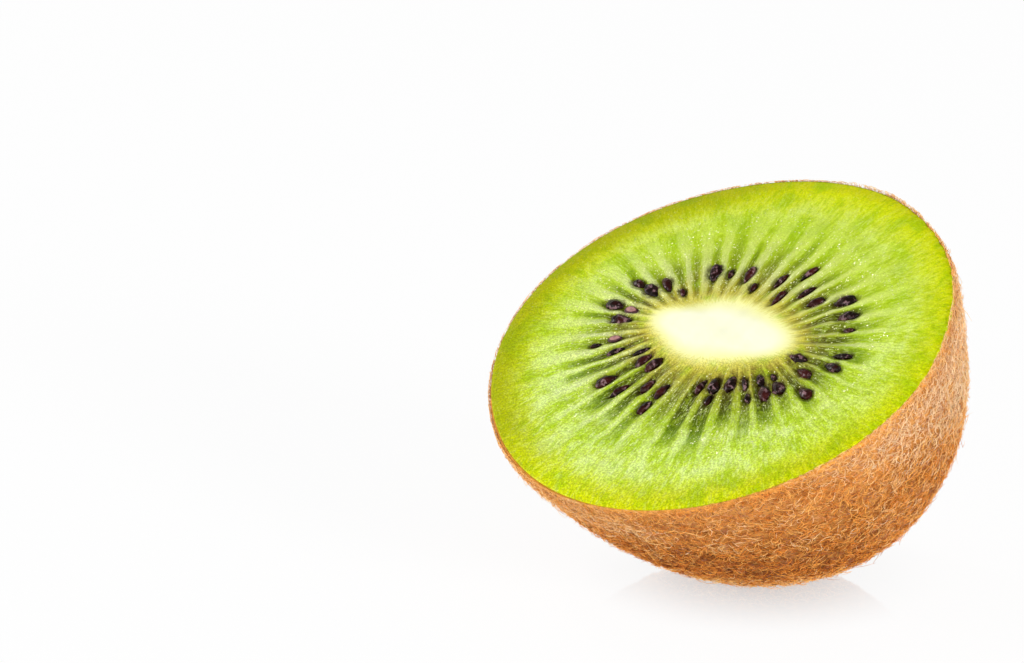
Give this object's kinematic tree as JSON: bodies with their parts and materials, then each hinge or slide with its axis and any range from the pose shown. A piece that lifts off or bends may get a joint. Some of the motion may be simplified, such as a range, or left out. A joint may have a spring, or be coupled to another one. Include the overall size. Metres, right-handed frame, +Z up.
{
  "type": "kiwi fruit half",
  "caption": "Half of a kiwi fruit, cut across, resting on its round furry end with the green seeded cut face leaning forward.",
  "frame": {"origin": "middle of the small flat rest spot under the round end", "axes": "+Z up, +X along the wide axis of the cut face, the cut face leans towards -Y"},
  "size_m": [0.0545, 0.0453, 0.0392],
  "materials": {
    "flesh": "wet, soft green fruit flesh with pale rays and fine grain",
    "seed": "glossy dark purple-brown seed coat",
    "skin": "thin dry brown skin, matt",
    "fuzz": "short golden-brown matted hairs"
  },
  "bodies": {
    "root": {"kiwi_half": "flesh"}
  },
  "joints": []
}
